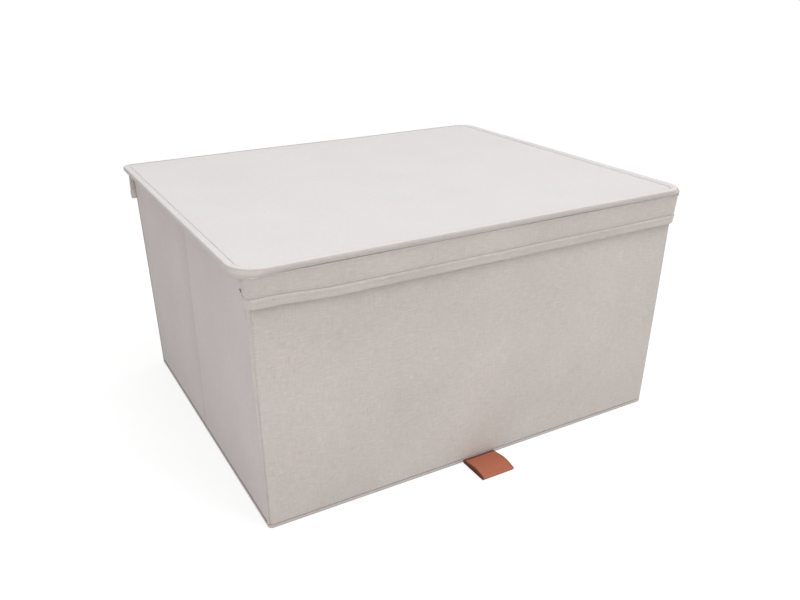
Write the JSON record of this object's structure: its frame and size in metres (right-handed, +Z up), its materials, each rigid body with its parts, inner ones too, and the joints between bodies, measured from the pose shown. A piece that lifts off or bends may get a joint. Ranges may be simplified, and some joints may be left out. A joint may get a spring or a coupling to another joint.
{
  "type": "fabric storage box with lid",
  "caption": "Rectangular linen-covered storage box of stiff panels, with a lift-off lid that has a corded edge and hemmed front and back flaps, creased end walls that fold, and a pull tab at the foot.",
  "frame": {"origin": "middle of the underside of the base", "axes": "+Z up, +X along the length, -Y towards the front wall with the pull tab"},
  "size_m": [0.4392, 0.3938, 0.2328],
  "materials": {
    "linen": "matt warm grey linen-look canvas, plain weave with slubs",
    "lining": "matt plain-woven lining",
    "board": "grey board",
    "cord": "undyed filler cord",
    "leather": "satin tan imitation leather"
  },
  "bodies": {
    "base": {"base_cover": "linen", "base_board": "board", "base_lining": "lining", "back_wall_cover": "linen", "back_wall_board": "board", "back_wall_lining": "lining"},
    "left_rear": {"left_rear_cover": "linen", "left_rear_board": "board", "left_rear_lining": "lining"},
    "left_front": {"left_front_cover": "linen", "left_front_board": "board", "left_front_lining": "lining"},
    "right_rear": {"right_rear_cover": "linen", "right_rear_board": "board", "right_rear_lining": "lining"},
    "right_front": {"right_front_cover": "linen", "right_front_board": "board", "right_front_lining": "lining"},
    "front": {"front_wall_cover": "linen", "front_wall_board": "board", "front_wall_lining": "lining"},
    "lid": {"lid_cover": "linen", "lid_board": "board", "lid_lining": "lining", "lid_welt": "linen", "lid_welt_cord": "cord", "front_flap_cover": "linen", "front_flap_board": "board", "front_flap_lining": "lining", "back_flap_cover": "linen", "back_flap_board": "board", "back_flap_lining": "lining"},
    "tab": {"pull_tab": "leather"}
  },
  "joints": [
    {"name": "lid_lift", "type": "slide", "parent": "base", "child": "lid", "axis": [0, 0, 1], "range_m": [0, 0.25]},
    {"name": "left_rear_fold", "type": "hinge", "parent": "base", "child": "left_rear", "pos_m": [-0.2049, 0.1703, 0.0037], "axis": [0, 0, 1], "range_deg": [0, 88]},
    {"name": "left_crease_fold", "type": "hinge", "parent": "left_rear", "child": "left_front", "pos_m": [-0.2099, 0, 0.0037], "axis": [0, 0, 1], "range_deg": [-176, 0]},
    {"name": "front_corner_fold", "type": "hinge", "parent": "left_front", "child": "front", "pos_m": [-0.2049, -0.1703, 0.0037], "axis": [0, 0, 1], "range_deg": [0, 88]},
    {"name": "right_rear_fold", "type": "hinge", "parent": "base", "child": "right_rear", "pos_m": [0.2049, 0.1703, 0.0037], "axis": [0, 0, 1], "range_deg": [-88, 0]},
    {"name": "right_crease_fold", "type": "hinge", "parent": "right_rear", "child": "right_front", "pos_m": [0.2099, 0, 0.0037], "axis": [0, 0, 1], "range_deg": [0, 176]},
    {"name": "tab_swing", "type": "hinge", "parent": "base", "child": "tab", "pos_m": [0, -0.1753, 0.0033], "axis": [-1, 0, 0], "range_deg": [0, 78]}
  ],
  "couplings": [
    {"joint": "left_crease_fold", "follows": "left_rear_fold", "ratio": -2},
    {"joint": "front_corner_fold", "follows": "left_rear_fold", "ratio": 1},
    {"joint": "right_rear_fold", "follows": "left_rear_fold", "ratio": -1},
    {"joint": "right_crease_fold", "follows": "left_rear_fold", "ratio": 2}
  ]
}
